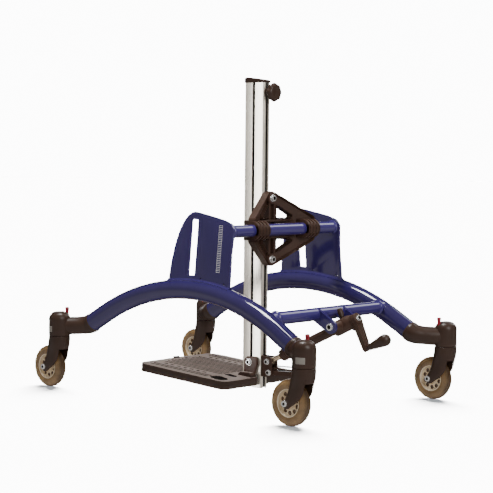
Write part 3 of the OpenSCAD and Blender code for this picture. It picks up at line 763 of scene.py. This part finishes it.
KNOB_Z, COL_BACK = COL_TOP - 23, COLUMN_Y + COL_D
behind = at(0, COL_BACK, KNOB_Z) @ turn("X", -90)
collar = turned([(3.55, 0), (10.4, 0), (11, 0.6), (11, 4.4), (10.4, 5), (3.55, 5), (3.55, 0)], 48)
move(collar, behind)
fit_piece(collar, "knob_collar", "column", PLASTIC, "knob_washer")
knob_line = [(0, -5), (3.5, -5), (3.5, 5.5), (10, 5.5), (10.4, 12)] + quarter(14, 21.5, 8, -80, 90, 18)
knob = turned(knob_line + [(8.5, 29.5), (7.5, 28.9), (0, 28.9)], 96)
LOBES, LOBE_DIP, LOBE_ROOT = 8, 0.085, 11
for v in knob.verts:
    reach = math.hypot(v.co.x, v.co.y)
    if reach > LOBE_ROOT:
        wave = (1 - math.cos(LOBES * math.atan2(v.co.y, v.co.x))) / 2
        dip = 1 - LOBE_DIP * (reach - LOBE_ROOT) / LOBE_ROOT * wave
        v.co.x, v.co.y = v.co.x * dip, v.co.y * dip
move(knob, behind)
fit_piece(knob, "clamp_knob_lobed", "clamp_knob", PLASTIC, "knob")

# %% [markdown]
# ## The diamond bracket
# The casting that tilts the column on its bar is a diamond with four windows, ribbed along every edge and
# swept back from the column to the bar. A flat plate with windows is cut first, its rear face is inset
# and sunk so that a rib is left round each edge, and then the arms are swept back together.

# %% Cast the diamond
FACING_REAR = Matrix(((1, 0, 0, 0), (0, 0, 1, 0), (0, 1, 0, 0), (0, 0, 0, 1)))
BOLT_RISE, RIB_T, SPINE, SWEEP = 71, 5, 11, 0.43
half = [(0, -87, 3), (12, -83, 9), (58, -56, 60), (106, -27, 9), (106, 27, 9), (58, 56, 60), (12, 83, 9), (0, 87, 3)]
diamond_line = soften(half + [(-x, -z, r) for x, z, r in half[1:-1]])
window = [(13.5, 25, 3), (52, 25, 3), (52, 31, 4), (13.5, 57, 4)]
windows = [soften([(sx * x, sz * z, r) for x, z, r in window]) for sx in (-1, 1) for sz in (-1, 1)]
casting = cut_plate(diamond_line, 20, windows, edge=0)
for x in (-SPINE, 0, SPINE):
    bmesh.ops.bisect_plane(casting, geom=casting.verts[:] + casting.edges[:] + casting.faces[:], dist=0.0001,
                           plane_co=(x, 0, 0), plane_no=(1, 0, 0))
rear = [f for f in casting.faces if f.normal.z > 0.9]
bmesh.ops.inset_region(casting, faces=rear, thickness=3.2, depth=-9, use_boundary=True, use_even_offset=True)
for v in casting.verts:
    v.co.z += SWEEP * max(0, abs(v.co.x) - SPINE)
diamond = bmesh.new()
weld(diamond, casting, at(0, COL_BACK, BAR[1]) @ FACING_REAR)
for sz in (-1, 1):
    boss = turned([(0, 0), (14, 0), (14, 19.4), (13, 21), (8.6, 21), (8.6, 20), (0, 20)], 48)
    weld(diamond, boss, at(0, COL_BACK, BAR[1] + sz * BOLT_RISE) @ turn("X", -90))
    rib = cut_plate(box_outline(-86, 0, 86, 24, 3), RIB_T, edge=1.2)
    weld(diamond, rib, at(0, COL_BACK + 8, BAR[1] + sz * 19 - RIB_T / 2))
standing = UPRIGHT @ turn("Z", 90) @ Matrix.Scale(-1, 4, (0, 1, 0))
for k in (-1, 1):
    rail = cut_plate(box_outline(-60, 0, 60, 20, 2), RIB_T, edge=1)
    weld(diamond, rail, at(k * 9 - RIB_T / 2, COL_BACK, BAR[1]) @ standing)
fit_piece(diamond, "tilt_diamond", "column", CASTING, "tilt_bracket")

# %% [markdown]
# ## The bar clamps
# Two straps wrap the crossbar at the ends of the diamond. Three notches at the top and bottom leave four
# fins on each, so a strap is built the same way: a slimmer core, a plain band and four fins.

# %% Wrap the straps round the bar
def strap_line(radius, low, high):
    arc = quarter(0, 0, radius, -90, 90, 24)
    return [p for p in arc if low <= p[1] <= high]


CLAMP_X, STRAP_W, CORE_W = 88, 40, 39
straps = bmesh.new()
for sx in (-1, 1):
    here = at(sx * CLAMP_X, *BAR) @ UPRIGHT
    core = [(-24, -18)] + strap_line(18.4, -20, 20) + [(-24, 18)]
    weld(straps, cut_plate(core, CORE_W, edge=0.8), here @ at(0, 0, -CORE_W / 2))
    band = [(-6, -13)] + strap_line(22, -13, 13) + [(-6, 13)]
    weld(straps, cut_plate(band, STRAP_W, edge=1.2), here @ at(0, 0, -STRAP_W / 2))
    for shift, wide in ((-20, 6.6), (-8.6, 6.2), (2.4, 6.2), (13.4, 6.6)):
        fin = [(-26, -22)] + strap_line(22, -22, 22) + [(-26, 22)]
        weld(straps, cut_plate(fin, wide, edge=0.8, steps=2), here @ at(0, 0, shift))
fit_piece(straps, "bar_straps", "column", CASTING)

screws = bmesh.new()
for sz in (-1, 1):
    weld(screws, screw(7, 6, 4.2, 1.4), at(0, COL_BACK + 20.6, BAR[1] + sz * BOLT_RISE) @ turn("X", -90))
    weld(screws, shank(3.5, -26, -0.5), at(0, COL_BACK + 21, BAR[1] + sz * BOLT_RISE) @ turn("X", -90))
fit_piece(screws, "diamond_screws", "column", ZINC, "bracket_bolts", extra=[PAINTED_SHADE])

# %% [markdown]
# ## Rod bracket and foot lever
# Low on the back of the column a small forked bracket holds the eye of the sliding rod and, under it, a
# straight lever with two thin wires above it. The cheeks and the lever are softened outlines cut from plate,
# which shows their side view in the code, and the wires are bent tubes.

# %% Bracket and cross bolts
ROD_END, LEVER, CHEEK_X, CHEEK_T = (69, 85), (74, 60), 10, 5
fork_plate = bmesh.new()
cheek = soften([(COL_BACK, 49, 2), (66, 49, 3), (74, 50, 7), (81, 58, 6), (81, 91, 8), (74, 97, 5),
                (COL_BACK, 97, 2)])
for k in (-1, 1):
    weld(fork_plate, cut_plate(cheek, CHEEK_T, edge=0.9), at(k * CHEEK_X - CHEEK_T / 2, 0, 0) @ UPRIGHT)
weld(fork_plate, cut_plate(box_outline(-12.5, 49, 12.5, 98, 2), 4, edge=0.9), at(0, COL_BACK, 0) @ FACING_REAR)
fit_piece(fork_plate, "rod_fork", "column", CASTING, "rod_bracket")
pins = bmesh.new()
for spot in (ROD_END, LEVER):
    weld(pins, cross_bolt(CHEEK_X + CHEEK_T / 2, 4, 6, 5, 3.5, 1.0), at(0, *spot))
fit_piece(pins, "rod_fork_screws", "column", ZINC, "rod_bolts", extra=[PAINTED_SHADE])

# %% Foot lever and its wires
LEVER_W, WIRE_R, WIRE_L, WIRE_STEPS = 13, 1.7, 82, 6
lever = bmesh.new()
lever_line = soften([(-7, -7, 6), (92, -7, 3), (92, 3.5, 3), (9, 3.5, 5), (4, 7, 3), (-7, 7, 6)])
weld(lever, cut_plate(lever_line, LEVER_W, edge=1.4), UPRIGHT @ at(0, 0, -LEVER_W / 2))
for x, sink, lift in ((-3.5, 1, 14.5), (3.5, 4, 10)):
    fall = math.tan(math.radians(sink))
    wire = [(x, 9 + WIRE_L * k / WIRE_STEPS, lift - fall * WIRE_L * k / WIRE_STEPS) for k in range(WIRE_STEPS + 1)]
    weld(lever, bent_tube([(x, 2, 4), (x, 5, lift - 1.5)] + wire, [WIRE_R] * (WIRE_STEPS + 3), 16))
move(lever, at(0, *LEVER) @ turn("X", 3))
fit_piece(lever, "foot_lever_bar", "lever", CASTING, "foot_lever")

# %% [markdown]
# ## The footplate
# The footplate is one moulded board, tipped slightly up at the toes. Its outline, notch and slots are
# cut in one plate, long ribs are laid on its tread, and two blocks beside the notch stiffen it. Openings
# that are part of the outline get the same soft rims as the edge, which a boolean would not give them.

# %% Outline of the board
FOOT_Y, FOOT_Z, FOOT_W, FOOT_L, FOOT_T = COLUMN_Y + 22.5, 46, 130, 288, 19
NOTCH_X, NOTCH_D = 15.2, 54
DASH_X, DASH_STEP, RIB_STEP = 78, 21.33, 12
TIP = at(0, FOOT_Y, FOOT_Z) @ turn("X", -3.5)
board_line = soften([(-FOOT_W, 0, 20), (-NOTCH_X, 0, 1.5), (-NOTCH_X, -NOTCH_D, 2), (NOTCH_X, -NOTCH_D, 2),
                     (NOTCH_X, 0, 1.5), (FOOT_W, 0, 20), (FOOT_W, -FOOT_L + 3, 24), (0, -FOOT_L, 900),
                     (-FOOT_W, -FOOT_L + 3, 24)], steps=8)


def slanted(x, y, wide, long, degrees):
    swing = Matrix.Rotation(math.radians(degrees), 2)
    round_slot = box_outline(-wide / 2, -long / 2, wide / 2, long / 2, wide / 2 - 0.02, 12)
    return [swing @ p + Vector((x, y)) for p in round_slot]


cuts = []
for k in (-1, 1):
    cuts += [slanted(k * 101, -43, 30, 52, -16 * k), slanted(k * 53, -50, 16, 38, -12 * k),
             ring(k * 24, 16 - FOOT_L, 4, 20)]
    cuts += [box_outline(k * DASH_X - 3, -246 + DASH_STEP * j, k * DASH_X + 3, -234 + DASH_STEP * j, 2.2, 3)
             for j in range(7)]
print("the board has", len(cuts), "openings")

# %% Mould the board
board = bmesh.new()
weld(board, cut_plate(board_line, FOOT_T, cuts, edge=2.2, steps=3), TIP @ at(0, 0, -FOOT_T))
for x in range(-108, 109, RIB_STEP):
    if abs(abs(x) - DASH_X) > RIB_STEP / 2:
        rib = cut_plate(box_outline(x - 1.6, 24 - FOOT_L, x + 1.6, -72, 1.5, 3), 1.5, edge=0.6, steps=2)
        weld(board, rib, TIP @ at(0, 0, -0.1))
weld(board, cut_plate(box_outline(-9, 1 - FOOT_L, 9, 8 - FOOT_L, 3), 6, edge=1.5), TIP @ at(0, 0, -2))
BLOCK_X, BLOCK_T = 25.5, 14
block = soften([(-54, -6), (-4, -6), (-4, 6, 3), (-9, 11, 4), (-42, 11, 8)])
for k in (-1, 1):
    weld(board, cut_plate(block, BLOCK_T, edge=2), at(k * BLOCK_X - BLOCK_T / 2, FOOT_Y, FOOT_Z) @ UPRIGHT)


def board_face(face):
    """The tread on top, lightened by painted sheen, painted shade on the walls in the openings and the plain moulding
    round the outside.
    """
    spot = face.calc_center_median()
    if face.normal.z > 0.9:
        return 1
    # the walls of the openings take painted shade
    inner = abs(spot.x) < FOOT_W - 6 and 8 - FOOT_L < spot.y - FOOT_Y < -8 and spot.z < FOOT_Z + 22
    return 2 if inner and abs(face.normal.z) < 0.5 and abs(abs(spot.x) - BLOCK_X) > 9 else 0


fit_piece(board, "foot_board", "footplate", PLASTIC, "footplate", extra=[SHEEN_TREAD, PAINTED_SHADE], pick=board_face)

# %% [markdown]
# ## The cheeks that slide
# Two cheeks stand on the board, one on each side of the column, and a screw through each clamps it in the
# side slot. Each cheek is a softened outline cut from plate, with a wide bevel like a moulded edge.

# %% Cheeks and their screws
SLIDE_BOLT_Z, TAB_X, TAB_T = FOOT_Z + 34, 16.4, 7
tab = soften([(-39.5, -5, 2), (-10, -5, 2), (-10, 0, 4), (1, 30, 8), (1, 40, 6), (-4, 47, 6), (-31, 47, 8),
              (-39.5, 39, 8)])
cheeks, nuts = bmesh.new(), bmesh.new()
for k in (-1, 1):
    weld(cheeks, cut_plate(tab, TAB_T, edge=2.2), at(k * TAB_X - TAB_T / 2, FOOT_Y, FOOT_Z) @ UPRIGHT)
    weld(nuts, screw(6.5, 6, 3.9, 2.2), at(k * (TAB_X + TAB_T / 2), COLUMN_Y, SLIDE_BOLT_Z) @ turn("Y", 90 * k))
    weld(nuts, shank(3.5, -4.8, 4.8), at(k * 15, COLUMN_Y, SLIDE_BOLT_Z) @ turn("Y", 90))
fit_piece(cheeks, "foot_slide_cheeks", "footplate", CASTING, "foot_cheeks")
fit_piece(nuts, "foot_slide_screws", "footplate", ZINC, "foot_bolts", extra=[PAINTED_SHADE])

# %% [markdown]
# ## Spindle and rod
# The crank turns a spindle that hangs between the two lugs, and a bright rod slides out of its tube to
# push the foot of the column. All of it is turned about the spindle's own sloping line, because a lathe's
# outline is the natural choice for such round parts.

# %% Turn the spindle and the rod
SLOPE = math.degrees(math.atan2(PIVOT[1] - ROD_END[1], PIVOT[0] - ROD_END[0]))
RUN = math.hypot(PIVOT[1] - ROD_END[1], PIVOT[0] - ROD_END[0])
SPINDLE = at(0, *PIVOT) @ turn("X", SLOPE)
ALONG = SPINDLE @ turn("X", -90)
spindle = bmesh.new()
tube_line = [(6.6, 42 - RUN), (13.4, 42 - RUN), (14.5, 43 - RUN), (14.5, 61 - RUN), (13.6, 62 - RUN),
             (11.5, 62.5 - RUN), (11.5, -25), (15.8, -25), (17, -23.8), (17, -12), (16, -11), (16, -8), (17, -7),
             (17, 19), (16.2, 21), (13, 31), (6.1, 31), (6.1, 12), (0, 12)]
weld(spindle, turned(tube_line + [(0, 0), (0, -20), (6.6, -20), (6.6, 42 - RUN)], 56), ALONG)
weld(spindle, turned([(0, -40), (11, -40), (12, -39), (12, 39), (11, 40), (0, 40)], 48), SPINDLE @ turn("Y", 90))
fit_piece(spindle, "spindle_barrel", "spindle", CASTING, "spindle_tube")
stop = turned([(0, 11), (3, 11), (3, 18), (4.5, 18), (6.5, 25), (6.5, 37), (5.6, 38.6), (4, 39), (0, 39)], 40)
move(stop, SPINDLE @ at(0, 4, 0))
fit_piece(stop, "spindle_stop", "spindle_knob", PLASTIC, "stop_knob")
slider = bmesh.new()
weld(slider, turned([(0, 6 - RUN), (6.5, 6 - RUN), (6.5, -58), (0, -58)], 40), ALONG)
eye = [(5, -6.4), (5.6, -7), (8.4, -7), (9, -6.4), (9, 6.4), (8.4, 7), (5.6, 7), (5, 6.4), (5, -6.4)]
weld(slider, turned(eye, 48), SPINDLE @ at(0, -RUN, 0) @ turn("Y", 90))
fit_piece(slider, "sliding_rod", "rod", ROD, "rod")

# %% [markdown]
# ## Crank and grip
# A flat arm hangs from the end of the spindle and carries a loose grip that turns in the hand. The arm is
# cut from its outline and both its faces are inset and sunk, which leaves the raised rim of a casting.

# %% Cut the crank and turn its grip
ARM = 70
crank = bmesh.new()
stem = [(0, 14), (6, 14), (6, 32), (13, 32), (14, 33), (13.2, 45), (12.2, 46), (3, 46), (3, 40), (0, 40)]
weld(crank, turned(stem, 48), ALONG)
arm_line = soften([(-12.5, 4, 4), (12.5, 4, 4), (7.6, -ARM - 2, 6), (0, -ARM - 8, 6), (-7.6, -ARM - 2, 6)])
arm = cut_plate(arm_line, 12, edge=0)
flats = [f for f in arm.faces if abs(f.normal.z) > 0.9]
bmesh.ops.inset_individual(arm, faces=flats, thickness=2.4, depth=-1.6, use_even_offset=True)
weld(crank, arm, SPINDLE @ at(0, 46, 0) @ turn("X", 90))
weld(crank, turned([(0, 40), (4, 40), (4, 91), (0, 91)], 32), SPINDLE @ at(0, 0, -ARM) @ turn("X", -90))
fit_piece(crank, "crank_lever", "crank", CASTING, "crank_arm")
cap_screw = screw(6.5, 4, 3.8, 0.0)
move(cap_screw, ALONG @ at(0, 0, 46))
fit_piece(cap_screw, "crank_screw", "crank", ZINC, "crank_bolt", extra=[PAINTED_SHADE])
grip_line = [(4.1, 47), (6, 47), (6.6, 47.6), (7.1, 51), (9.2, 64), (11.4, 78), (13.0, 90)]
grip_line += quarter(0, 95.5, 13.5, 0, 90, 12) + [(0, 93), (4.1, 93), (4.1, 47)]
grip = turned(grip_line, 48)
move(grip, SPINDLE @ at(0, 0, -ARM) @ turn("X", -90))
fit_piece(grip, "crank_grip", "grip", PLASTIC, "grip")

# %% [markdown]
# ## The camera
# The picture was taken from behind the right rear caster, a little above the crossbar. A bearing, a height
# angle and a distance from one aimed point place the camera, because they say more than three coordinates.
# Cross products then give its axes, and a small roll tips it as in the picture.

# %% Place the camera
AZIMUTH, ELEVATION, ROLL, DISTANCE, FOCAL = 132.193, 3.511, 0.559, 3600.58, 1523.95
az, el, roll = (math.radians(a) for a in (AZIMUTH, ELEVATION, ROLL))
back = Vector((math.sin(az) * math.cos(el), -math.cos(az) * math.cos(el), math.sin(el)))
across = (-back).cross(Vector((0, 0, 1))).normalized()
up = across.cross(-back)
across, up = across * math.cos(roll) + up * math.sin(roll), up * math.cos(roll) - across * math.sin(roll)
PICTURE, SENSOR = 493, 36
AIM = Vector((-0.92, -11.21 + BACKSET, 349.73))
lens = bpy.data.cameras.new("portrait lens")
lens.sensor_width, lens.lens = SENSOR, FOCAL / PICTURE * SENSOR
lens.clip_end = 200
camera = bpy.data.objects.new("portrait camera", lens)
stand = AIM + back * DISTANCE
camera.matrix_world = Matrix.Translation(stand * MM) @ Matrix((across, up, back)).transposed().to_4x4()
show(camera)
bpy.context.scene.camera = camera
print("the camera stands at", [round(n) for n in stand], "mm")

# %% [markdown]
# ## Floor and backdrop
# The frame stands in a bright and plain studio: a pale disc under it and a pale dome round it. The camera
# sees both, but neither lights the frame, so the paint mirrors only the lamps and the sky made for it.

# %% Lay the floor
STUDIO_R = 30


def stage_piece(bm, name, colour, tint, glow):
    """A part of the studio. The camera sees it, but it neither lights the frame nor shows in its gloss."""
    mesh = bpy.data.meshes.new(name)
    bm.to_mesh(mesh)
    bm.free()
    coat = bpy.data.materials.new(name)
    coat.use_nodes = True
    shader = coat.node_tree.nodes["Principled BSDF"]
    for key, value in (("Base Color", (*colour, 1)), ("Roughness", 1.0), ("Specular IOR Level", 0.0),
                       ("Emission Color", (*tint, 1)), ("Emission Strength", glow)):
        shader.inputs[key].default_value = value
    mesh.materials.append(coat)
    piece = bpy.data.objects.new(name, mesh)
    piece.visible_diffuse = piece.visible_glossy = piece.visible_transmission = piece.visible_shadow = False
    show(piece)
    return piece


ground, dome = bmesh.new(), bmesh.new()
bmesh.ops.create_circle(ground, cap_ends=True, radius=STUDIO_R, segments=96)
bmesh.ops.create_uvsphere(dome, u_segments=96, v_segments=48, radius=STUDIO_R)
floor = stage_piece(ground, "pale_floor", (0.97, 0.97, 0.97), (0.70, 0.86, 1.0), 0.3)
stage_piece(dome, "pale_backdrop", (0.99, 0.995, 1.0), (0.99, 0.995, 1.0), 12.0)
print("the studio is", 2 * STUDIO_R, "metres wide")

# %% [markdown]
# ## Light on the floor
# Under such a frame only a short soft shade is left at each wheel. A sun with a wide disc gives that, and
# light linking lets it reach the floor alone and lets only the wheels and forks stand in its way. The
# lamps of the next step use groups too. Two of these name what to leave dark, so their entries are excluded.

# %% Wash the floor and sort the pieces
wash = bpy.data.lights.new("floor wash", "SUN")
wash.energy, wash.angle, wash.color = 50.0, math.radians(50), (1.0, 0.99, 0.985)
wash.cycles.use_multiple_importance_sampling = False
lamp = bpy.data.objects.new("floor wash", wash)
fall = Vector((back.x, back.y, 0)) * 0.62 - across * 0.12 - Vector((0, 0, 0.78))
lamp.rotation_euler = fall.to_track_quat("-Z", "Y").to_euler()
show(lamp)
washed, unlit, calm, feet, post, bars = (bpy.data.collections.new(name)
                                         for name in ("washed", "unlit", "calm", "feet", "post", "bars"))
washed.objects.link(floor)
for group in (unlit, calm):
    group.objects.link(floor)
for piece in bpy.data.objects:
    if piece.name.startswith(("arch_tube_", "wheel_tyre_")):
        calm.objects.link(piece)
    if piece.name.startswith(("wheel_", "caster_fork_")):
        feet.objects.link(piece)
    if piece.name.startswith(("column_profile", "foot_slide_")):
        post.objects.link(piece)
    if piece.name in ("hinge_bar", "lower_brace"):
        bars.objects.link(piece)
for group in (unlit, calm):
    for entry in group.collection_objects:
        entry.light_linking.link_state = "EXCLUDE"
lamp.light_linking.receiver_collection = washed
lamp.light_linking.blocker_collection = feet

# %% [markdown]
# ## Lamps
# Broad soft lamps draw the long highlights along the arches and the column. Each is a lit rectangle, as a
# studio's soft box is, and its group says what it lights, so that one surface can be tuned without the rest.

# %% Hang the lamps
def soft_light(name, spot, aim, size, power, group):
    glow = bpy.data.lights.new(name, "AREA")
    glow.shape, glow.size, glow.size_y, glow.energy = "RECTANGLE", size[0], size[1], power
    lamp = bpy.data.objects.new(name, glow)
    lamp.location = spot
    lamp.rotation_euler = (Vector(aim) - Vector(spot)).to_track_quat("-Z", "Y").to_euler()
    lamp.visible_camera = False
    lamp.light_linking.receiver_collection = group
    show(lamp)


soft_light("overhead", (0.2, -0.2, 2.8), (0, 0, 0), (0.7, 0.7), 85, unlit)
soft_light("right key", (0.9, 3.0, 1.7), (0, 0, 0.35), (1.4, 1.8), 60, calm)
soft_light("left strip", (2.75, -1.6, 0.55), (0, 0, 0.4), (0.9, 2.2), 68, post)
soft_light("bar glow", (1.7, 1.6, 2.2), (0, 0.1, 0.35), (1.6, 0.5), 55, bars)
soft_light("far glow", (-3.4, -3.0, 1.0), (0, 0, 0.3), (4.0, 1.4), 45, unlit)
soft_light("far high", (-2.4, 0.6, 2.4), (0, 0, 0.3), (1.2, 1.2), 20, unlit)
print("lamps:", len(bpy.data.lights))

# %% [markdown]
# ## A dim sky
# What the lamps don't reach is filled by a faint warm sky. It is brighter from below, as over a pale floor,
# and dimmed beyond the frame, so that edges turned away from the camera stay dark.

# %% Dim the sky
sky = bpy.data.worlds.new("dim studio")
sky.use_nodes = True
tree = sky.node_tree
way = Wire(tree).node("ShaderNodeTexCoord", give="Generated")
east, north, height = (way.axis(name) for name in "XYZ")
strength = height.remap(-0.25, 0.05, 0.7, 0.35)
away = -0.743 * east - 0.669 * north
beyond = away.remap(0.1, 0.6, 1.0, 0.1)
tree.links.new((strength * beyond).out, tree.nodes["Background"].inputs["Strength"])
tree.nodes["Background"].inputs["Color"].default_value = (1.0, 0.96, 0.915, 1)
bpy.context.scene.world = sky
print("camera and light are set")
